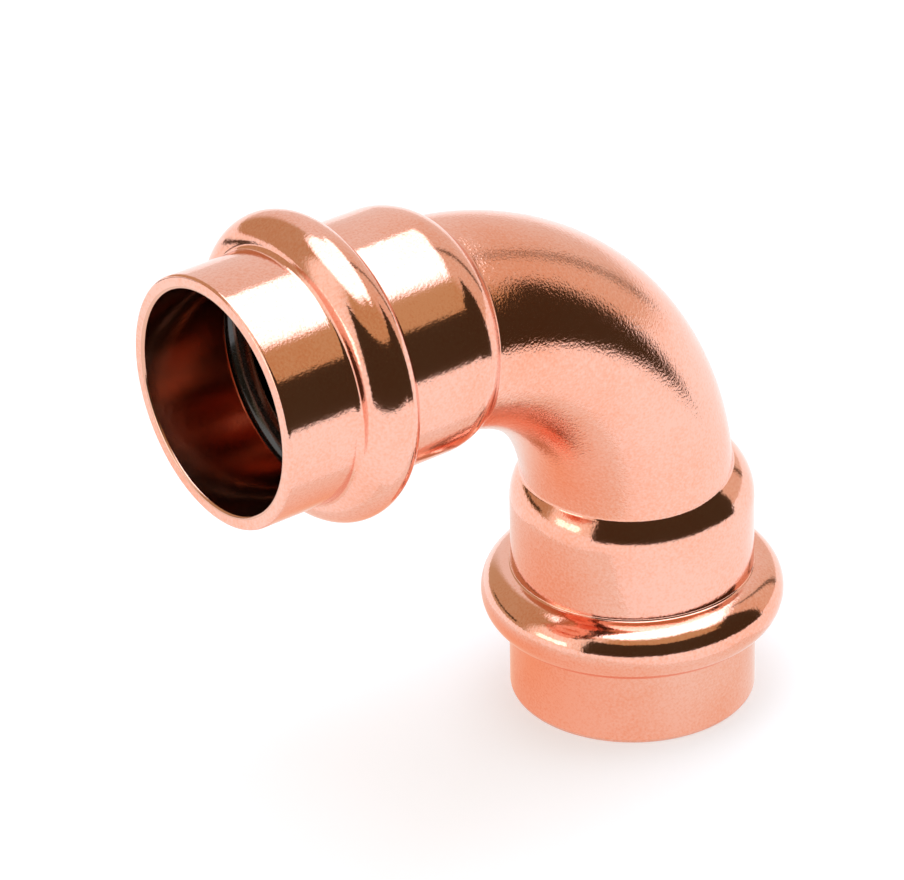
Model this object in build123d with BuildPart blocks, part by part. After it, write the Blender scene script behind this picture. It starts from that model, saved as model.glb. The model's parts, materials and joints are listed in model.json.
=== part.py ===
"""Copper press elbow, 90 degrees, with its two seal rings.

Millimetres. The origin is the centre of the lower socket's mouth, +Z runs up
along that socket, and the side socket opens towards -X.
"""

from build123d import *
from math import acos, degrees, sqrt
import os

os.makedirs("parts", exist_ok=True)

# Tube that is pushed into each socket, and the run of the elbow
tube_diameter = 22.2
socket_clearance = 0.15        # radial, between the tube and the socket
centre_to_end = 50.9           # from a socket's mouth to where both axes cross
bend_radius = 27.05            # centreline of the bend
bend_height = 21.2             # outside of the bent tube, in the plane of the bend
bend_width = 22.4              # across that plane, where bending leaves the tube wider
bend_shift = 0.6               # from a socket's axis towards the inside of the bend
bend_wall = 1.2

# Socket, from its mouth inwards
collar_wall = 1.45             # thick lip in front of the bead
press_wall = 1.25              # stretch behind the bead that the jaws grip
socket_depth = 22.1            # straight bore, up to the shoulder
shoulder_round = 6.0           # outside radius of the shoulder's arc
lip_outer_round = 0.35
lip_inner_round = 0.3
crease_round = 0.4             # hollow corner where each shoulder meets the bend

# Bead, and the seal ring inside it
bead_position = 11.35          # centre of the bead, from the mouth
bead_wall = 1.3                # top of the bead, thinned by forming
bead_flank_wall = 1.475        # sides of the bead
bead_front_round = 0.6         # hollow corner between the collar and the bead
bead_back_round = 0.25         # hollow corner between the bead and the press stretch
seal_section = 3.1             # thickness of the ring
seal_reach = 0.2               # how far the ring stands into the bore
seal_play = 0.12               # between the ring and its groove
groove_edge_round = 0.3

# Radii that follow from the sizes above
bore_radius = tube_diameter / 2 + socket_clearance
collar_radius = bore_radius + collar_wall
press_radius = bore_radius + press_wall
tube_reach = bend_height / 2 - bend_shift        # nearest that the bent tube comes to a socket's axis
shoulder_end = tube_reach - bend_wall            # the shoulder's arc ends inside the tube's wall
seal_ring_radius = bore_radius - seal_reach + seal_section / 2
groove_radius = seal_section / 2 + seal_play
bead_radius = groove_radius + bead_flank_wall
bead_ring_radius = seal_ring_radius + groove_radius + bead_wall - bead_radius

# Each socket has the centre of its mouth and the way in along its axis
sockets = {
    "lower": (Vector(0, 0, 0), Vector(0, 0, 1)),
    "side": (Vector(-centre_to_end, 0, centre_to_end), Vector(1, 0, 0)),
}


def half_section(mouth, inward):
    """Plane of a socket's half section: x is the radius and y the way in."""
    radial = Vector(0, 1, 0).cross(inward)
    return Plane(origin=mouth, x_dir=radial, z_dir=radial.cross(inward))


def bead_reach(radius):
    """Distance from the bead's centre to where its arc crosses a radius."""
    return sqrt(bead_radius**2 - (radius - bead_ring_radius) ** 2)


def shoulder_turn(start_radius, arc_radius, end_radius):
    """Degrees that the shoulder's arc turns while it narrows to a radius."""
    return degrees(acos(1 - (start_radius - end_radius) / arc_radius))


def outside_section(mouth, inward):
    """Half section of a socket's outside: collar, bead, press stretch, shoulder."""
    front = (collar_radius, bead_position - bead_reach(collar_radius))
    back = (press_radius, bead_position + bead_reach(press_radius))
    bead_top = (bead_ring_radius + bead_radius, bead_position)
    turn = shoulder_turn(press_radius, shoulder_round, shoulder_end)
    with BuildSketch(half_section(mouth, inward)) as section:
        with BuildLine():
            Polyline((0, 0), (collar_radius, 0), front)
            ThreePointArc(front, bead_top, back)
            press = Line(back, (press_radius, socket_depth))
            shoulder = JernArc(press @ 1, press % 1, shoulder_round, turn)
            Polyline(shoulder @ 1, (0, (shoulder @ 1).Y), (0, 0))
        make_face()
        corners = section.vertices()
        fillet(corners.sort_by_distance(front)[0], bead_front_round)
        fillet(corners.sort_by_distance(back)[0], bead_back_round)
        fillet(corners.sort_by_distance((collar_radius, 0))[0], lip_outer_round)
    return section.sketch


def waterway_section(mouth, inward):
    """Half section of a socket's inside: bore, seal groove, shoulder."""
    groove_front = bead_position - groove_radius
    groove_back = bead_position + groove_radius
    groove_top = (seal_ring_radius + groove_radius, bead_position)
    inner_round = shoulder_round - press_wall
    turn = shoulder_turn(bore_radius, inner_round, shoulder_end - bend_wall)
    front_edge = (bore_radius, groove_front)
    back_edge = (bore_radius, groove_back)
    with BuildSketch(half_section(mouth, inward)) as section:
        with BuildLine():
            Polyline((0, 0), (bore_radius, 0), front_edge, (seal_ring_radius, groove_front))
            ThreePointArc((seal_ring_radius, groove_front), groove_top, (seal_ring_radius, groove_back))
            Line((seal_ring_radius, groove_back), back_edge)
            bore = Line(back_edge, (bore_radius, socket_depth))
            shoulder = JernArc(bore @ 1, bore % 1, inner_round, turn)
            Polyline(shoulder @ 1, (0, (shoulder @ 1).Y), (0, 0))
        make_face()
        corners = section.vertices()
        fillet(corners.sort_by_distance(front_edge)[0], groove_edge_round)
        fillet(corners.sort_by_distance(back_edge)[0], groove_edge_round)
    return section.sketch


# Line that the tube follows, from mouth to mouth, a little inside the sockets' axes
tube_corner = centre_to_end - bend_shift
with BuildLine(Plane.XZ) as centreline:
    FilletPolyline(
        (-bend_shift, 0), (-bend_shift, tube_corner), (-centre_to_end, tube_corner), radius=bend_radius
    )

# Outside of both sockets
with BuildPart() as socket_shapes:
    for mouth, inward in sockets.values():
        revolve(outside_section(mouth, inward), axis=Axis(mouth, inward))

# Outside of the bent tube
with BuildPart() as bent_tube:
    with BuildSketch(Plane(centreline.line @ 0)):
        Ellipse(bend_height / 2, bend_width / 2)
    sweep(path=centreline.line)

# Waterway: both bores with their seal grooves, joined round the bend
with BuildPart() as waterway:
    for mouth, inward in sockets.values():
        revolve(waterway_section(mouth, inward), axis=Axis(mouth, inward))
    with BuildSketch(Plane(centreline.line @ 0)):
        Ellipse(bend_height / 2 - bend_wall, bend_width / 2 - bend_wall)
    sweep(path=centreline.line)

# Body: formed from one length of copper tube
with BuildPart() as elbow_body:
    add(socket_shapes.part)
    add(bent_tube.part)
    fillet(new_edges(socket_shapes.part, bent_tube.part, combined=elbow_body.part), crease_round)
    add(waterway.part, mode=Mode.SUBTRACT)
    for way_in in (Axis.Z, Axis.X):
        mouth_edges = elbow_body.edges().filter_by(GeomType.CIRCLE).group_by(way_in)[0]
        fillet(mouth_edges.sort_by(SortBy.RADIUS)[0], lip_inner_round)
elbow_body.part.label = "elbow_body"
export_step(elbow_body.part, "parts/elbow_body.step")

# Seal rings, one in the groove of each socket
for name, (mouth, inward) in sockets.items():
    with BuildPart() as seal_ring:
        with BuildSketch(half_section(mouth, inward)):
            with Locations((seal_ring_radius, bead_position)):
                Circle(seal_section / 2)
        revolve(axis=Axis(mouth, inward))
    seal_ring.part.label = f"{name}_o_ring"
    export_step(seal_ring.part, f"parts/{name}_o_ring.step")
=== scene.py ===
import bpy
import json
from math import atan2, cos, hypot, pi, radians, sin, sqrt
from mathutils import Matrix, Vector


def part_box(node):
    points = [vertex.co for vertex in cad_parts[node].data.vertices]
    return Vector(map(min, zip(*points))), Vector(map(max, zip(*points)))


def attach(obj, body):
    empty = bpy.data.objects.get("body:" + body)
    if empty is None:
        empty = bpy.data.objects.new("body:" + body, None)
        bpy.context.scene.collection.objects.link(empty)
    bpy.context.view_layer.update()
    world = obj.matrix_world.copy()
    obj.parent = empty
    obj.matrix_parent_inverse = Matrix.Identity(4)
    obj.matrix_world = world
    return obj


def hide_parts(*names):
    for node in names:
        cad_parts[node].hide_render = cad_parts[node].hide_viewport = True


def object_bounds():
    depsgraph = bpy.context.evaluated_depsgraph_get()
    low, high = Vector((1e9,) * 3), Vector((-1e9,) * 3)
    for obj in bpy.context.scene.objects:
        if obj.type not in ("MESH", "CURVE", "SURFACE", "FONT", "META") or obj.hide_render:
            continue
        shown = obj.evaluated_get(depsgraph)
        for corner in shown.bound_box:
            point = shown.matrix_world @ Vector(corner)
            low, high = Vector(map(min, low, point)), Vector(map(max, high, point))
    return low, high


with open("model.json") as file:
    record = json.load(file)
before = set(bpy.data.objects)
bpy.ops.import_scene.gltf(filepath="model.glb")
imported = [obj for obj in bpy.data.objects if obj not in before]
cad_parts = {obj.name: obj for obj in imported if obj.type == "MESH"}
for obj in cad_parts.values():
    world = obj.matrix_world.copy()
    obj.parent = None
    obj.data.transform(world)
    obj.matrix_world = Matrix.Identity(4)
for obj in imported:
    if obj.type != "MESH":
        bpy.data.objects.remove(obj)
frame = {"nodes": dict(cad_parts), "record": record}
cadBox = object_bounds()
mm = 0.001
print("frame loaded:", ", ".join(sorted(frame["nodes"])))


def linearColour(hexText, alpha=1.0):
    # sRGB hex to the linear values that the sockets take
    parts = [int(hexText[i:i + 2], 16) / 255 for i in (1, 3, 5)]
    return (*(p / 12.92 if p <= 0.04045 else ((p + 0.055) / 1.055) ** 2.4 for p in parts), alpha)


def addNode(tree, kind, inputs=None, **settings):
    # a socket in inputs is linked, anything else becomes the input's value
    node = tree.nodes.new(kind)
    for name, value in settings.items():
        setattr(node, name, value)
    for socket, value in (inputs or {}).items():
        if isinstance(value, bpy.types.NodeSocket):
            tree.links.new(value, node.inputs[socket])
        else:
            node.inputs[socket].default_value = value
    return node


def addFormula(tree, known, steps):
    # each step is (result, operation, inputs...); inputs are earlier results or plain numbers
    for result, operation, *inputs in steps:
        sources = {i: known.get(name, name) for i, name in enumerate(inputs)}
        known[result] = addNode(tree, "ShaderNodeMath", sources, operation=operation).outputs[0]


def startTree(name, numbers):
    # geometry in, geometry out, and one float input for each named size
    tree = bpy.data.node_groups.new(name, "GeometryNodeTree")
    tree.interface.new_socket("Geometry", in_out="INPUT", socket_type="NodeSocketGeometry")
    for number in numbers:
        tree.interface.new_socket(number, in_out="INPUT", socket_type="NodeSocketFloat")
    tree.interface.new_socket("Segments", in_out="INPUT", socket_type="NodeSocketInt")
    tree.interface.new_socket("Material", in_out="INPUT", socket_type="NodeSocketMaterial")
    tree.interface.new_socket("Geometry", in_out="OUTPUT", socket_type="NodeSocketGeometry")
    return tree, addNode(tree, "NodeGroupInput").outputs


def finishTree(tree, geometry, given):
    # every tree ends the same way: real geometry, smooth, with its material
    smooth = addNode(tree, "GeometryNodeSetShadeSmooth", {"Geometry": geometry})
    real = addNode(tree, "GeometryNodeRealizeInstances", {"Geometry": smooth.outputs[0]})
    painted = addNode(tree, "GeometryNodeSetMaterial",
                      {"Geometry": real.outputs[0], "Material": given["Material"]})
    addNode(tree, "NodeGroupOutput", {"Geometry": painted.outputs[0]})


def sweepRound(tree, given):
    # the section that comes in is swept once round; "turn" runs from 0 to 1 on the way
    circle = addNode(tree, "GeometryNodeCurvePrimitiveCircle",
                     {"Resolution": given["Segments"], "Radius": 1.0})
    turn = addNode(tree, "GeometryNodeSplineParameter")
    marked = addNode(tree, "GeometryNodeStoreNamedAttribute",
                     {"Geometry": circle.outputs[0], "Name": "turn", "Value": turn.outputs["Factor"]},
                     data_type="FLOAT", domain="POINT")
    section = addNode(tree, "GeometryNodeMeshToCurve", {"Mesh": given["Geometry"]})
    swept = addNode(tree, "GeometryNodeCurveToMesh",
                    {"Curve": marked.outputs[0], "Profile Curve": section.outputs[0]})
    known = {}
    for name in ("turn", "sectionRadius", "sectionDepth"):
        read = addNode(tree, "GeometryNodeInputNamedAttribute", {"Name": name}, data_type="FLOAT")
        known[name] = read.outputs["Attribute"]
    addFormula(tree, known, (
        ("angle", "MULTIPLY", "turn", 2 * pi),
        ("cosine", "COSINE", "angle"),
        ("sine", "SINE", "angle"),
    ))
    return swept.outputs[0], known


def sectionObject(name, points, closed=False):
    # one row of points: radius, depth, and the marks that the trees read
    mesh = bpy.data.meshes.new(name)
    count = len(points)
    edges = [(i, i + 1) for i in range(count - 1)] + ([(count - 1, 0)] if closed else [])
    mesh.from_pydata([(p["sectionRadius"], 0, p["sectionDepth"]) for p in points], edges, [])
    for mark in points[0]:
        layer = mesh.attributes.new(mark, "FLOAT", "POINT")
        layer.data.foreach_set("value", [p[mark] for p in points])
    piece = bpy.data.objects.new(name, mesh)
    bpy.context.scene.collection.objects.link(piece)
    return piece


def treeToMesh(piece, tree, values):
    # sets the inputs by identifier, then keeps the evaluated mesh and drops the modifier
    modifier = piece.modifiers.new(tree.name, "NODES")
    modifier.node_group = tree
    for socket in tree.interface.items_tree:
        if socket.in_out == "INPUT" and socket.name in values:
            modifier[socket.identifier] = values[socket.name]
    bpy.context.view_layer.update()
    evaluated = piece.evaluated_get(bpy.context.evaluated_depsgraph_get())
    mesh = bpy.data.meshes.new_from_object(evaluated)
    piece.modifiers.clear()
    old, piece.data = piece.data, mesh
    bpy.data.meshes.remove(old)
    mesh.name = piece.name
    return piece


def arcPoints(centre, radius, start, end, steps):
    # points of an arc in the half section, angles in degrees from the outward direction
    angles = [radians(start + (end - start) * i / steps) for i in range(steps + 1)]
    return [(centre[0] + radius * cos(a), centre[1] + radius * sin(a)) for a in angles]


def linePoints(start, end, steps, support=0.08):
    # a straight stretch, with a point close to each end that keeps its shading flat
    length = hypot(end[0] - start[0], end[1] - start[1])
    parts = [0, support / length, *(i / steps for i in range(1, steps)), 1 - support / length, 1]
    return [(start[0] + (end[0] - start[0]) * t, start[1] + (end[1] - start[1]) * t) for t in parts]


# sizes are in millimetres: these are the dictionary's own, and the frame gives the rest

elbowSizes = {
    "bendRadius": 27.05,
    "bendHeight": 21.2,        # in the plane of the bend
    "bendWidth": 22.4,         # across it, where bending leaves the tube wider
    "bendShift": 0.6,          # from a socket's axis towards the inside of the bend
    "bendWall": 1.2,
    "collarWall": 1.45,
    "pressWall": 1.25,
    "socketDepth": 22.1,
    "shoulderRound": 6.0,
    "creaseLeg": 0.3,          # length that the hollow corner takes from either side
    "lipOuterRound": 0.35,
    "lipInnerRound": 0.3,
    "beadWall": 1.3,
    "beadFlankWall": 1.475,
    "beadFrontRound": 0.6,
    "beadBackRound": 0.25,
    "sealSection": 3.1,
    "sealReach": 0.2,
    "sealPlay": 0.12,
    "grooveEdgeRound": 0.3,
    "segments": 192,
    "creasePasses": 4,         # each pass brings the crease nearer to both surfaces
    "shoulderRows": 20,
    "cornerRows": 9,
    "bendRows": 26,            # up to the middle of the bend
    "creaseRows": (0.0001, 0.006),  # shares of the bend, close to the crease, which keep its shading crisp
    "weldGap": 0.002,          # the two legs are joined where they meet
}
mounts = {m["name"]: m for m in frame["record"]["mounts"]}
boreRadius = mounts["lower_socket"]["dims"]["r_mm"]
centreToEnd = mounts["side_socket"]["pos_m"][2] / mm
sealLow, sealHigh = (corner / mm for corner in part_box("lower_o_ring"))
sealSection = elbowSizes["sealSection"]
sealRadius = boreRadius - elbowSizes["sealReach"] + sealSection / 2
beadPosition = (sealLow.z + sealHigh.z) / 2


def filletCentre(wallRadius, hollow, beadRadius, beadRing, side):
    # centre of the hollow round between a straight wall and the bead, on one side of it
    reach = sqrt((beadRadius + hollow) ** 2 - (wallRadius + hollow - beadRing) ** 2)
    return wallRadius + hollow, beadPosition + side * reach


def outerOutline(s):
    # outside of a socket, from the lip to the start of the shoulder
    grooveRadius = sealSection / 2 + s["sealPlay"]
    beadRadius = grooveRadius + s["beadFlankWall"]
    beadRing = sealRadius + grooveRadius + s["beadWall"] - beadRadius
    collar = boreRadius + s["collarWall"]
    press = boreRadius + s["pressWall"]
    front = filletCentre(collar, s["beadFrontRound"], beadRadius, beadRing, -1)
    back = filletCentre(press, s["beadBackRound"], beadRadius, beadRing, 1)
    rise = atan2(front[1] - beadPosition, front[0] - beadRing) * 180 / pi
    fall = atan2(back[1] - beadPosition, back[0] - beadRing) * 180 / pi
    lip = s["lipOuterRound"]
    return (
        arcPoints((collar - lip, lip), lip, -90, 0, 6)
        + linePoints((collar, lip), (collar, front[1]), 4)[1:]
        + arcPoints(front, s["beadFrontRound"], 180, rise + 180, 7)[1:]
        + arcPoints((beadRing, beadPosition), beadRadius, rise, fall, 40)[1:]
        + arcPoints(back, s["beadBackRound"], fall + 180, 180, 5)[1:]
        + linePoints((press, back[1]), (press, s["socketDepth"]), 4)[1:]
    )


def innerOutline(s):
    # inside of a socket, from the start of the shoulder out to the lip
    edge = s["grooveEdgeRound"]
    lip = s["lipInnerRound"]
    grooveRadius = sealSection / 2 + s["sealPlay"]
    front, back = beadPosition - grooveRadius, beadPosition + grooveRadius
    return (
        linePoints((boreRadius, s["socketDepth"]), (boreRadius, back + edge), 3)
        + arcPoints((boreRadius + edge, back + edge), edge, 180, 270, 4)[1:]
        + linePoints((boreRadius + edge, back), (sealRadius, back), 2)[1:]
        + arcPoints((sealRadius, beadPosition), grooveRadius, 90, -90, 16)[1:]
        + linePoints((sealRadius, front), (boreRadius + edge, front), 2)[1:]
        + arcPoints((boreRadius + edge, front - edge), edge, 90, 180, 4)[1:]
        + linePoints((boreRadius, front - edge), (boreRadius, lip), 3)[1:]
        + arcPoints((boreRadius + lip, lip), lip, 180, 270, 5)[1:]
    )


def shellSection(s):
    # half of the elbow's wall as one row: inside of the bend, inside, lip, outside, outside of the bend
    def mark(radius, depth, shoulder=0.0, corner=0.0, bend=0.0, inner=0.0):
        return {"sectionRadius": radius * mm, "sectionDepth": depth * mm, "shoulderPart": shoulder,
                "cornerPart": corner, "bendPart": bend, "innerSide": inner}
    shoulder = [i / s["shoulderRows"] for i in range(1, s["shoulderRows"] + 1)]
    corner = [i / s["cornerRows"] for i in range(1, s["cornerRows"])]
    bend = [*s["creaseRows"], *(i / s["bendRows"] for i in range(1, s["bendRows"] + 1))]
    inside = innerOutline(s)
    outside = outerOutline(s)
    lipFace = linePoints(inside[-1], outside[0], 2)[1:-1]
    depth = s["socketDepth"]
    return (
        [mark(boreRadius, depth, bend=b, inner=1.0) for b in reversed(bend)]
        + [mark(boreRadius, depth, corner=c, inner=1.0) for c in reversed(corner)]
        + [mark(boreRadius, depth, shoulder=p, inner=1.0) for p in reversed(shoulder)]
        + [mark(r, d, inner=1.0) for r, d in inside]
        + [mark(r, d) for r, d in lipFace + outside]
        + [mark(boreRadius, depth, shoulder=p) for p in shoulder]
        + [mark(boreRadius, depth, corner=c) for c in corner]
        + [mark(boreRadius, depth, bend=b) for b in bend]
    )


def shoulderSteps(angle, tag):
    # point of the shoulder's arc at an angle
    return (
        ("cos" + tag, "COSINE", angle),
        ("sin" + tag, "SINE", angle),
        ("lost" + tag, "SUBTRACT", 1.0, "cos" + tag),
        ("lostRadius" + tag, "MULTIPLY", "arc", "lost" + tag),
        ("radius" + tag, "SUBTRACT", "startRadius", "lostRadius" + tag),
        ("x" + tag, "MULTIPLY", "radius" + tag, "cosine"),
        ("y" + tag, "MULTIPLY", "radius" + tag, "sine"),
        ("z" + tag, "MULTIPLY_ADD", "arc", "sin" + tag, "Socket Depth"),
    )


def bendSteps(angle, tag):
    # point of the bent tube at an angle of the bend
    return (
        ("cos" + tag, "COSINE", angle),
        ("sin" + tag, "SINE", angle),
        ("fromAxis" + tag, "MULTIPLY", "ringRadius", "cos" + tag),
        ("x" + tag, "SUBTRACT", "fromAxis" + tag, "centreOff"),
        ("y" + tag, "MULTIPLY", "halfWidth", "tubeSin"),
        ("z" + tag, "MULTIPLY_ADD", "ringRadius", "sin" + tag, "bendStart"),
    )


def buildElbowTree(s):
    # one leg swept from its section, its shoulder run to the crease, the bend to the middle, then mirrored
    names = ("Centre To End", "Bend Radius", "Bend Height", "Bend Width", "Bend Shift", "Bend Wall",
             "Press Radius", "Press Wall", "Shoulder Round", "Socket Depth", "Crease Leg")
    tree, given = startTree("pressElbowShell", names)
    swept, known = sweepRound(tree, given)
    known.update({name: given[name] for name in names})
    for name in ("shoulderPart", "cornerPart", "bendPart", "innerSide"):
        read = addNode(tree, "GeometryNodeInputNamedAttribute", {"Name": name}, data_type="FLOAT")
        known[name] = read.outputs["Attribute"]
    addFormula(tree, known, (
        ("centreOff", "ADD", "Bend Radius", "Bend Shift"),
        ("bendStart", "SUBTRACT", "Centre To End", "centreOff"),
        ("wallHere", "MULTIPLY", "innerSide", "Bend Wall"),
        ("heightHalf", "MULTIPLY", "Bend Height", 0.5),
        ("widthHalf", "MULTIPLY", "Bend Width", 0.5),
        ("halfHeight", "SUBTRACT", "heightHalf", "wallHere"),
        ("halfWidth", "SUBTRACT", "widthHalf", "wallHere"),
        ("pressHere", "MULTIPLY", "innerSide", "Press Wall"),
        ("startRadius", "SUBTRACT", "Press Radius", "pressHere"),
        ("arc", "SUBTRACT", "Shoulder Round", "pressHere"),
        # the bent tube's oval, seen from the leg's axis in this direction
        ("heightSquare", "MULTIPLY", "halfHeight", "halfHeight"),
        ("widthSquare", "MULTIPLY", "halfWidth", "halfWidth"),
        ("cosShare", "DIVIDE", "cosine", "heightSquare"),
        ("sinShare", "DIVIDE", "sine", "widthSquare"),
        ("sinPart", "MULTIPLY", "sinShare", "sine"),
        ("squarePart", "MULTIPLY_ADD", "cosShare", "cosine", "sinPart"),
        ("creaseRadius", "ADD", "halfHeight", 0.0),
    ))
    # the crease is where the shoulder's arc meets the bent tube; the meeting is found by repeated passes
    onePass = (
        ("drop", "SUBTRACT", "startRadius", "creaseRadius"),
        ("dropShare", "DIVIDE", "drop", "arc"),
        ("cosTurned", "SUBTRACT", 1.0, "dropShare"),
        ("turned", "ARCCOSINE", "cosTurned"),
        ("sinTurned", "SINE", "turned"),
        ("creaseDepth", "MULTIPLY_ADD", "arc", "sinTurned", "Socket Depth"),
        ("rise", "SUBTRACT", "creaseDepth", "bendStart"),
        ("fromCentre", "MULTIPLY_ADD", "creaseRadius", "cosine", "centreOff"),
        ("riseSquare", "MULTIPLY", "rise", "rise"),
        ("squares", "MULTIPLY_ADD", "fromCentre", "fromCentre", "riseSquare"),
        ("reach", "SQRT", "squares"),
        ("lean", "SUBTRACT", "reach", "fromCentre"),
        ("off", "ADD", "lean", "Bend Shift"),
        ("offShare", "MULTIPLY", "off", "cosShare"),
        ("offPart", "DIVIDE", "off", "heightSquare"),
        ("plainPart", "MULTIPLY_ADD", "offPart", "off", -1.0),
        ("plainShare", "MULTIPLY", "squarePart", "plainPart"),
        ("offShareSquare", "MULTIPLY", "offShare", "offShare"),
        ("under", "SUBTRACT", "offShareSquare", "plainShare"),
        ("root", "SQRT", "under"),
        ("over", "SUBTRACT", "root", "offShare"),
        ("creaseRadius", "DIVIDE", "over", "squarePart"),
    )
    for _ in range(s["creasePasses"]):
        addFormula(tree, known, onePass)
    addFormula(tree, known, (
        # plain stretch: straight round the leg's axis
        ("xPlain", "MULTIPLY", "sectionRadius", "cosine"),
        ("yPlain", "MULTIPLY", "sectionRadius", "sine"),
        # shoulder: turns up to where the hollow corner begins
        ("legTurn", "DIVIDE", "Crease Leg", "arc"),
        ("lastTurn", "SUBTRACT", "turned", "legTurn"),
        ("turnHere", "MULTIPLY", "lastTurn", "shoulderPart"),
        # bend: from the end of the hollow corner on to half of the right angle
        ("across", "MULTIPLY", "creaseRadius", "sine"),
        ("acrossShare", "DIVIDE", "across", "halfWidth"),
        ("fromTube", "SUBTRACT", "reach", "Bend Radius"),
        ("fromTubeShare", "DIVIDE", "fromTube", "halfHeight"),
        ("roundTube", "ARCTAN2", "acrossShare", "fromTubeShare"),
        ("tubeCos", "COSINE", "roundTube"),
        ("tubeSin", "SINE", "roundTube"),
        ("ringRadius", "MULTIPLY_ADD", "halfHeight", "tubeCos", "Bend Radius"),
        ("creaseAngle", "ARCTAN2", "rise", "fromCentre"),
        ("legAngle", "DIVIDE", "Crease Leg", "ringRadius"),
        ("firstAngle", "ADD", "creaseAngle", "legAngle"),
        ("angleLeft", "SUBTRACT", pi / 4, "firstAngle"),
        ("bendAngle", "MULTIPLY_ADD", "angleLeft", "bendPart", "firstAngle"),
        ("onShoulder", "GREATER_THAN", "shoulderPart", 0.0),
        ("onCorner", "GREATER_THAN", "cornerPart", 0.0),
        ("onBend", "GREATER_THAN", "bendPart", 0.0),
    ))
    for steps in (shoulderSteps("turnHere", "Shoulder"), shoulderSteps("lastTurn", "Before"),
                  bendSteps("creaseAngle", "Crease"), bendSteps("firstAngle", "After"),
                  bendSteps("bendAngle", "Bend")):
        addFormula(tree, known, steps)
    known["zPlain"] = known["sectionDepth"]
    places = {}
    for tag in ("Plain", "Shoulder", "Before", "Crease", "After", "Bend"):
        axes = {i: known[axis + tag] for i, axis in enumerate("xyz")}
        places[tag] = addNode(tree, "ShaderNodeCombineXYZ", axes).outputs[0]
    # the hollow corner is a curve drawn between three points, and each stretch then takes its own place
    for result, share, first, second in (
        ("toCrease", "cornerPart", "Before", "Crease"),
        ("fromCrease", "cornerPart", "Crease", "After"),
        ("Corner", "cornerPart", "toCrease", "fromCrease"),
        ("upToShoulder", "onShoulder", "Plain", "Shoulder"),
        ("upToCorner", "onCorner", "upToShoulder", "Corner"),
        ("upToBend", "onBend", "upToCorner", "Bend"),
    ):
        mixed = addNode(tree, "ShaderNodeMix",
                        {"Factor": known[share], 4: places[first], 5: places[second]}, data_type="VECTOR")
        places[result] = mixed.outputs[1]
    moved = addNode(tree, "GeometryNodeSetPosition", {"Geometry": swept, "Position": places["upToBend"]})
    leg = moved.outputs[0]
    # the other leg is this one with its axes swapped, which also turns its faces over
    here = addNode(tree, "ShaderNodeSeparateXYZ", {0: addNode(tree, "GeometryNodeInputPosition").outputs[0]})
    known.update({"x": here.outputs[0], "y": here.outputs[1], "z": here.outputs[2]})
    addFormula(tree, known, (
        ("mirrorX", "SUBTRACT", "z", "Centre To End"),
        ("mirrorZ", "ADD", "x", "Centre To End"),
    ))
    swapped = addNode(tree, "ShaderNodeCombineXYZ",
                      {0: known["mirrorX"], 1: known["y"], 2: known["mirrorZ"]})
    other = addNode(tree, "GeometryNodeSetPosition", {"Geometry": leg, "Position": swapped.outputs[0]})
    outward = addNode(tree, "GeometryNodeFlipFaces", {"Mesh": leg})
    both = addNode(tree, "GeometryNodeJoinGeometry", {"Geometry": outward.outputs[0]})
    tree.links.new(other.outputs[0], both.inputs[0])
    welded = addNode(tree, "GeometryNodeMergeByDistance",
                     {"Geometry": both.outputs[0], "Distance": s["weldGap"] * mm})
    finishTree(tree, welded.outputs[0], given)
    return tree


def makeElbow(s, material):
    piece = sectionObject("copper_elbow", shellSection(s))
    values = {
        "Centre To End": centreToEnd * mm,
        "Bend Radius": s["bendRadius"] * mm,
        "Bend Height": s["bendHeight"] * mm,
        "Bend Width": s["bendWidth"] * mm,
        "Bend Shift": s["bendShift"] * mm,
        "Bend Wall": s["bendWall"] * mm,
        "Press Radius": (boreRadius + s["pressWall"]) * mm,
        "Press Wall": s["pressWall"] * mm,
        "Shoulder Round": s["shoulderRound"] * mm,
        "Socket Depth": s["socketDepth"] * mm,
        "Crease Leg": s["creaseLeg"] * mm,
        "Segments": s["segments"],
        "Material": material,
    }
    return treeToMesh(piece, buildElbowTree(s), values)


ringSizes = {
    "flashHeight": 0.035,      # seam that the two halves of the mould leave round the ring
    "flashWidth": 0.12,
    "steps": 96,
    "segments": 256,
}


def ringSection(s):
    # round section with the mould's seam standing proud, inside and outside
    radius = sealSection / 2 - s["flashHeight"]
    points = []
    for i in range(s["steps"]):
        a = 2 * pi * i / s["steps"]
        offSeam = radius * sin(a) / s["flashWidth"]
        proud = radius + s["flashHeight"] / (1 + offSeam ** 4)
        points.append({"sectionRadius": (sealRadius + proud * cos(a)) * mm,
                       "sectionDepth": (beadPosition + proud * sin(a)) * mm})
    return points


def buildRingTree():
    tree, given = startTree("sealRing", ("Side", "Centre To End"))
    swept, known = sweepRound(tree, given)
    known.update({"Side": given["Side"], "Centre To End": given["Centre To End"]})
    addFormula(tree, known, (
        ("x", "MULTIPLY", "sectionRadius", "cosine"),
        ("y", "MULTIPLY", "sectionRadius", "sine"),
        ("sideX", "SUBTRACT", "sectionDepth", "Centre To End"),
        ("sideZ", "ADD", "x", "Centre To End"),
    ))
    lower = addNode(tree, "ShaderNodeCombineXYZ", {0: known["x"], 1: known["y"], 2: known["sectionDepth"]})
    side = addNode(tree, "ShaderNodeCombineXYZ", {0: known["sideX"], 1: known["y"], 2: known["sideZ"]})
    place = addNode(tree, "ShaderNodeMix",
                    {"Factor": known["Side"], 4: lower.outputs[0], 5: side.outputs[0]}, data_type="VECTOR")
    ring = addNode(tree, "GeometryNodeSetPosition", {"Geometry": swept, "Position": place.outputs[1]})
    finishTree(tree, ring.outputs[0], given)
    return tree


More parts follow.
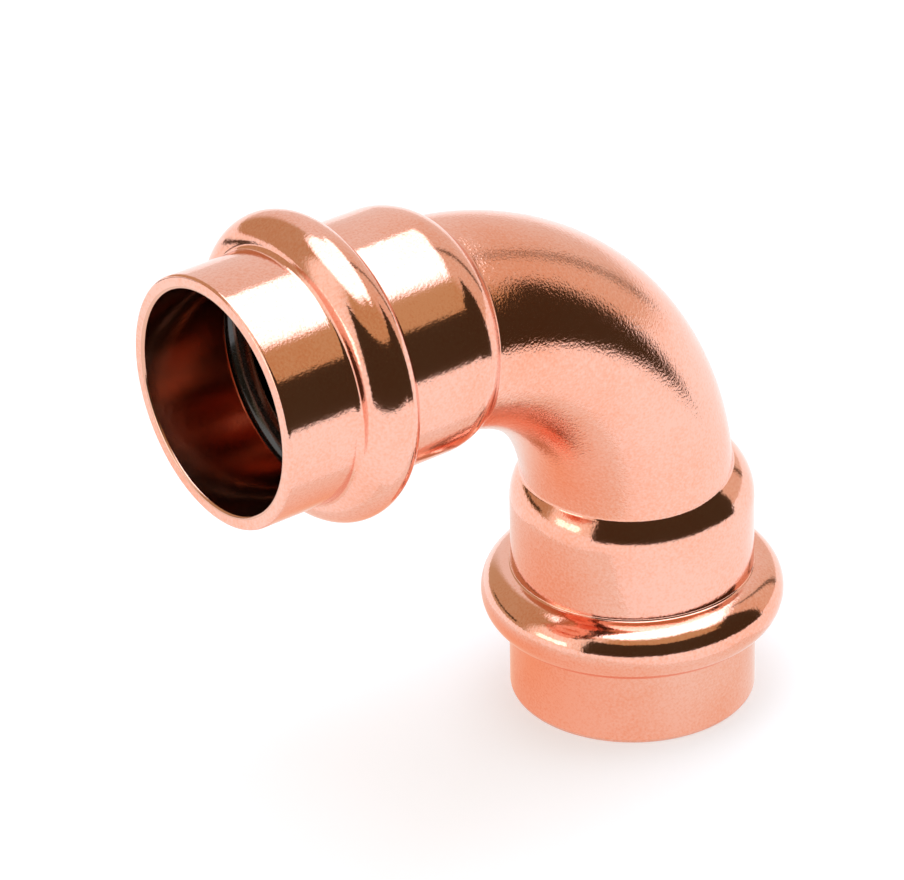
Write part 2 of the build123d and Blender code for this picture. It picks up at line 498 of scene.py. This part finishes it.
def makeRing(name, side, tree, s, material):
    piece = sectionObject(name, ringSection(s), closed=True)
    values = {
        "Side": side,
        "Centre To End": centreToEnd * mm,
        "Segments": s["segments"],
        "Material": material,
    }
    treeToMesh(piece, tree, values)
    if signedVolume(piece.data) < 0:
        piece.data.flip_normals()
    return piece


def signedVolume(mesh):
    # below zero where a closed mesh is inside out
    total = 0.0
    for face in mesh.polygons:
        corners = [mesh.vertices[i].co for i in face.vertices]
        for b, c in zip(corners[1:], corners[2:]):
            total += corners[0].dot(b.cross(c)) / 6
    return total


copperLook = {
    "bright": "#F5BBA7",       # clean copper
    "warm": "#EFA283",         # where handling has begun to tint it
    "inside": "#DDA890",       # the bore, painted darker than the outside: painted shade
    "toneSize": 14.0,          # patches of tone, mm across
    "speckle": 0.9,            # share that the pits add to the tone
    "toneSpan": (0.8, 1.25),   # where the tone turns from bright to warm
    "grain": 0.27,             # pits that pickling and tumbling leave, mm; drawn a little coarse, to show
    "socketPits": 0.0085,      # depth of the pits, mm
    "bendPits": 0.027,         # deeper where bending has stretched the grain
    "ripple": 2.2,             # slow waviness of cold-formed tube, mm
    "rippleDepth": 0.012,
    "socketRoughness": 0.07,
    "bendRoughness": 0.085,
    "insideRoughness": 0.11,
    "pitRoughness": 0.05,      # roughness that the pits add
}
rubberLook = {
    "black": "#141414",
    "bloom": "#262524",
    "grain": 0.25,             # what the mould's surface leaves, mm
    "grainDepth": 0.02,        # mm
    "relief": 0.15,            # strength of that grain
    "grainSpan": (0.3, 0.7),   # where the roughness turns from the lower to the higher
    "roughness": (0.16, 0.3),
    "ior": 1.52,
    "grease": 0.1,             # roughness of the film that the rings are fitted with
}


def newMaterial(name):
    material = bpy.data.materials.new(name)
    material.use_nodes = True
    tree = material.node_tree
    return material, tree, tree.nodes["Principled BSDF"]


def tumbledCopper(look):
    # bare copper, cold formed from tube, pickled and tumbled: a bright mirror broken by a fine pitted grain
    material, tree, shader = newMaterial("copper_cold_formed_tumbled")
    place = addNode(tree, "ShaderNodeTexCoord").outputs["Object"]
    noises = {}
    for name, size, detail in (("tone", "toneSize", 3.0), ("pits", "grain", 2.0), ("ripple", "ripple", 1.0)):
        inputs = {"Vector": place, "Scale": 1 / (look[size] * mm), "Detail": detail}
        noises[name] = addNode(tree, "ShaderNodeTexNoise", inputs).outputs[0]
    speckled = addNode(tree, "ShaderNodeMath", {0: noises["pits"], 1: look["speckle"], 2: noises["tone"]},
                       operation="MULTIPLY_ADD")
    low, high = look["toneSpan"]
    tinted = addNode(tree, "ShaderNodeMapRange", {"Value": speckled.outputs[0], 1: low, 2: high})
    outside = addNode(tree, "ShaderNodeMix", {"Factor": tinted.outputs[0], 6: linearColour(look["bright"]),
                                              7: linearColour(look["warm"])}, data_type="RGBA")
    # painted shade: inside the bore the colour is mixed towards the darker inside colour
    bore = addNode(tree, "ShaderNodeAttribute", attribute_name="innerSide").outputs["Fac"]
    mixed = addNode(tree, "ShaderNodeMix", {"Factor": bore, 6: outside.outputs[2],
                                            7: linearColour(look["inside"])}, data_type="RGBA")
    bend = addNode(tree, "ShaderNodeAttribute", attribute_name="bendPart").outputs["Fac"]
    known = {**noises, "bend": bend, "bore": bore}
    addFormula(tree, known, (
        ("onBend", "GREATER_THAN", "bend", 0.0),
        ("pitDepth", "MULTIPLY_ADD", "onBend", look["bendPits"] - look["socketPits"], look["socketPits"]),
        ("pitted", "MULTIPLY", "pits", "pitDepth"),
        ("height", "MULTIPLY_ADD", "ripple", look["rippleDepth"], "pitted"),
        ("rougher", "MULTIPLY_ADD", "onBend", look["bendRoughness"] - look["socketRoughness"],
         look["socketRoughness"]),
        ("boreRoughness", "MULTIPLY", "bore", look["insideRoughness"]),
        ("surface", "MAXIMUM", "rougher", "boreRoughness"),
        ("roughness", "MULTIPLY_ADD", "pits", look["pitRoughness"], "surface"),
    ))
    relief = addNode(tree, "ShaderNodeBump", {"Height": known["height"], "Strength": 1.0, "Distance": mm})
    for socket, source in (("Base Color", mixed.outputs[2]), ("Roughness", known["roughness"]),
                           ("Normal", relief.outputs[0])):
        tree.links.new(source, shader.inputs[socket])
    shader.inputs["Metallic"].default_value = 1.0
    return material


def mouldedRubber(look):
    # EPDM, compression moulded and peroxide cured: deep black with a faint bloom, shining under its grease
    material, tree, shader = newMaterial("rubber_epdm_moulded")
    place = addNode(tree, "ShaderNodeTexCoord").outputs["Object"]
    noise = {"Vector": place, "Scale": 1 / (look["grain"] * mm), "Detail": 3.0}
    grain = addNode(tree, "ShaderNodeTexNoise", noise).outputs[0]
    mixed = addNode(tree, "ShaderNodeMix", {"Factor": grain, 6: linearColour(look["black"]),
                                            7: linearColour(look["bloom"])}, data_type="RGBA")
    low, high = look["grainSpan"]
    least, most = look["roughness"]
    rough = addNode(tree, "ShaderNodeMapRange", {"Value": grain, 1: low, 2: high, 3: least, 4: most})
    fine = addNode(tree, "ShaderNodeBump",
                   {"Height": grain, "Strength": look["relief"], "Distance": look["grainDepth"] * mm})
    for socket, source in (("Base Color", mixed.outputs[2]), ("Roughness", rough.outputs[0]),
                           ("Normal", fine.outputs[0])):
        tree.links.new(source, shader.inputs[socket])
    shader.inputs["IOR"].default_value = look["ior"]
    shader.inputs["Coat Weight"].default_value = 1.0
    shader.inputs["Coat Roughness"].default_value = look["grease"]
    return material


def lampMaterial(name, colour, glow):
    # matt surface with its own even glow
    material, _, shader = newMaterial(name)
    shader.inputs["Base Color"].default_value = linearColour(colour)
    shader.inputs["Roughness"].default_value = 0.9
    shader.inputs["Specular IOR Level"].default_value = 0.0
    shader.inputs["Emission Color"].default_value = (*glow, 1)
    shader.inputs["Emission Strength"].default_value = 1.0
    return material


copper = tumbledCopper(copperLook)
rubber = mouldedRubber(rubberLook)
print("materials:", copper.name + ",", rubber.name)

elbow = makeElbow(elbowSizes, copper)
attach(elbow, "root")
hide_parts("elbow_body")
print("elbow:", len(elbow.data.polygons), "faces")

ringTree = buildRingTree()
for side, node in enumerate(("lower_o_ring", "side_o_ring")):
    ring = makeRing("seal_" + node.split("_")[0], float(side), ringTree, ringSizes, rubber)
    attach(ring, "root")
    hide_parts(node)
    print(ring.name, len(ring.data.polygons), "faces")


cameraSetup = {
    "azimuth": -36.78,         # degrees; at 0 the camera looks along +Y
    "elevation": 29.85,
    "roll": -1.32,
    "distance": 512.9,         # mm
    "aim": (-2.8, 3.0, 1.3),   # mm, from the middle of the elbow's box
    "lens": 206.3,
}
studio = {
    "floor": "#C6C5C5",        # white acrylic table, lit from below so that shadows stay faint
    "floorGlow": (0.47, 0.48, 0.49),
    "floorSize": 6000,         # mm
    "backdrop": (1.0, 1.0, 1.0),  # what the camera sees behind the table
    "top": (2.45, 2.75, 3.2),  # diffuser overhead, linear
    "topEdges": (              # where it begins: azimuth and height, in degrees
        (-180, 62), (-62, 62), (-50, 52), (-35, 50), (-15, 52), (14, 52), (31, 45),
        (40, 45), (46, 58), (150, 60), (180, 62),
    ),
    "topBlur": 0.03,           # softness of that edge
    "walls": (                 # round the tent: azimuth in degrees, and linear colour
        (-180, (1.15, 1.12, 1.08)),
        (-158, (0.95, 0.86, 0.76)),
        (-148, (0.60, 0.44, 0.24)),
        (-40, (0.60, 0.44, 0.24)),
        (-26, (0.84, 0.68, 0.54)),
        (4, (0.84, 0.70, 0.58)),
        (6, (0.10, 0.07, 0.04)),
        (8, (0.10, 0.07, 0.04)),
        (10, (0.84, 0.72, 0.62)),
        (50, (0.92, 0.88, 0.86)),
        (74, (0.90, 0.86, 0.84)),
        (84, (0.58, 0.44, 0.28)),
        (146, (0.58, 0.44, 0.28)),
        (154, (1.15, 1.12, 1.08)),
        (180, (1.15, 1.12, 1.08)),
    ),
    "stuffs": {                # what the screens are made of, and their glow
        "felt_black": (0.06, 0.043, 0.023),
        "card_white_matt": (2.4, 2.5, 2.6),
    },
    "screens": (               # azimuth, radius and height at either end, then the foot; degrees and mm
        ("dark_cloth", "felt_black", (-164, -50), (225, 225), (215, 168), 0.5),
        ("dark_card", "felt_black", (-56, -28), (185, 122), (165, 160), 0.5),
        ("dark_strip", "felt_black", (108, 142), (170, 170), (38, 44), 30),
        ("white_strip", "card_white_matt", (160, 184), (225, 225), (75, 75), 32),
    ),
    "bounce": {                # painted shade and bounce light: a glowing card under the side leg, warm where the copper's light and the leg's shade would fall on the table
        "middle": (-18, 9),
        "reach": 36,           # mm, where the warmth ends
        "lift": 0.4,           # above the table
        "warm": (0.98, 0.55, 0.36),
        "plain": (1.0, 0.97, 0.95),
    },
}


def placeCamera(s):
    data = bpy.data.cameras.new("camera")
    camera = bpy.data.objects.new("camera", data)
    bpy.context.scene.collection.objects.link(camera)
    azimuth, elevation = radians(s["azimuth"]), radians(s["elevation"])
    back = Vector((sin(azimuth) * cos(elevation), -cos(azimuth) * cos(elevation), sin(elevation)))
    right = Vector((cos(azimuth), sin(azimuth), 0))
    axes = Matrix((right, back.cross(right), back)).transposed()
    middle = (cadBox[0] + cadBox[1]) / 2
    aim = middle + Vector(s["aim"]) * mm
    turned = axes.to_4x4() @ Matrix.Rotation(radians(s["roll"]), 4, "Z")
    camera.matrix_world = Matrix.Translation(aim + back * s["distance"] * mm) @ turned
    data.lens = s["lens"]
    data.clip_start = 0.01
    bpy.context.scene.camera = camera


def flatCard(name, corners, material):
    mesh = bpy.data.meshes.new(name)
    mesh.from_pydata([tuple(c) for c in corners], [], [(0, 1, 2, 3)])
    mesh.materials.append(material)
    card = bpy.data.objects.new(name, mesh)
    bpy.context.scene.collection.objects.link(card)
    return card


def makeFloor(s):
    half = s["floorSize"] / 2 * mm
    corners = ((-half, -half, 0), (half, -half, 0), (half, half, 0), (-half, half, 0))
    flatCard("floor", corners, lampMaterial("acrylic_white_lit", s["floor"], s["floorGlow"]))


def onlyReflected(screen):
    # seen in the copper's reflections, not by the camera
    screen.visible_camera = False
    screen.visible_diffuse = False
    screen.visible_shadow = False


def makeScreen(name, material, azimuths, radii, heights, foot):
    # a curved screen standing round the object
    steps = 24
    points, faces = [], []
    for i in range(steps + 1):
        azimuth, radius, height = (a + (b - a) * i / steps for a, b in (azimuths, radii, heights))
        x, y = radius * cos(radians(azimuth)) * mm, radius * sin(radians(azimuth)) * mm
        points += [(x, y, foot * mm), (x, y, height * mm)]
        if i:
            faces.append((2 * i - 2, 2 * i, 2 * i + 1, 2 * i - 1))
    mesh = bpy.data.meshes.new(name)
    mesh.from_pydata(points, [], faces)
    mesh.materials.append(material)
    screen = bpy.data.objects.new(name, mesh)
    bpy.context.scene.collection.objects.link(screen)
    onlyReflected(screen)


def makeBounce(s):
    # painted shade and bounce light: the glow is warm and darker in its middle, and fades out evenly from it
    # to the plain glow
    material = lampMaterial("paper_white_matt", "#000000", s["plain"])
    tree = material.node_tree
    place = addNode(tree, "ShaderNodeTexCoord").outputs["Object"]
    x, y = s["middle"]
    reach = s["reach"] * mm
    centred = addNode(tree, "ShaderNodeMapping",
                      {"Vector": place, "Location": (-x * mm / reach, -y * mm / reach, 0),
                       "Scale": (1 / reach, 1 / reach, 1 / reach)})
    fade = addNode(tree, "ShaderNodeTexGradient", {"Vector": centred.outputs[0]}, gradient_type="SPHERICAL")
    mixed = addNode(tree, "ShaderNodeMix", {"Factor": fade.outputs["Fac"], 6: (*s["plain"], 1),
                                            7: (*s["warm"], 1)}, data_type="RGBA")
    tree.links.new(mixed.outputs[2], tree.nodes["Principled BSDF"].inputs["Emission Color"])
    corners = [(x * mm + i * reach, y * mm + j * reach, s["lift"] * mm)
               for i, j in ((-1, -1), (1, -1), (1, 1), (-1, 1))]
    # seen only in reflections, where it paints the table's shade and the copper's bounce light
    onlyReflected(flatCard("paper_under", corners, material))


def lightWorld(s):
    # a light tent: its walls by azimuth, and the brighter diffuser overhead
    world = bpy.data.worlds.new("light_tent")
    bpy.context.scene.world = world
    world.use_nodes = True
    tree = world.node_tree
    background = tree.nodes["Background"]
    way = addNode(tree, "ShaderNodeTexCoord").outputs["Generated"]
    axes = addNode(tree, "ShaderNodeSeparateXYZ", {0: way}).outputs
    known = {"x": axes[0], "y": axes[1], "z": axes[2]}
    addFormula(tree, known, (
        ("azimuth", "ARCTAN2", "y", "x"),
        ("share", "MULTIPLY_ADD", "azimuth", 0.5 / pi, 0.5),
    ))
    wallStops = [(azimuth, (*colour, 1)) for azimuth, colour in s["walls"]]
    edgeStops = [(azimuth, (sin(radians(height)),) * 3 + (1,)) for azimuth, height in s["topEdges"]]
    for name, stops in (("walls", wallStops), ("edge", edgeStops)):
        # a ramp starts with two stops of its own; all are placed before any is coloured
        ramp = addNode(tree, "ShaderNodeValToRGB", {0: known["share"]})
        known[name] = ramp.outputs[0]
        for _ in stops[2:]:
            ramp.color_ramp.elements.new(1.0)
        for element, stop in zip(ramp.color_ramp.elements, stops):
            element.position = stop[0] / 360 + 0.5
        for element, stop in zip(ramp.color_ramp.elements, stops):
            element.color = stop[1]
    addFormula(tree, known, (("above", "SUBTRACT", "z", "edge"),))
    up = addNode(tree, "ShaderNodeMapRange", {"Value": known["above"], 1: -s["topBlur"], 2: s["topBlur"]})
    sky = addNode(tree, "ShaderNodeMix", {"Factor": up.outputs[0], 6: known["walls"], 7: (*s["top"], 1)},
                  data_type="RGBA")
    # behind the object the tent looks plain white
    direct = addNode(tree, "ShaderNodeLightPath").outputs["Is Camera Ray"]
    seen = addNode(tree, "ShaderNodeMix", {"Factor": direct, 6: sky.outputs[2], 7: (*s["backdrop"], 1)},
                   data_type="RGBA")
    tree.links.new(seen.outputs[2], background.inputs["Color"])


placeCamera(cameraSetup)
print("camera placed")
makeFloor(studio)
stuffs = {name: lampMaterial(name, "#000000", glow) for name, glow in studio["stuffs"].items()}
for name, stuff, *shape in studio["screens"]:
    makeScreen(name, stuffs[stuff], *shape)
makeBounce(studio["bounce"])
lightWorld(studio)
bpy.context.scene.view_settings.view_transform = "Standard"
print("studio lit")
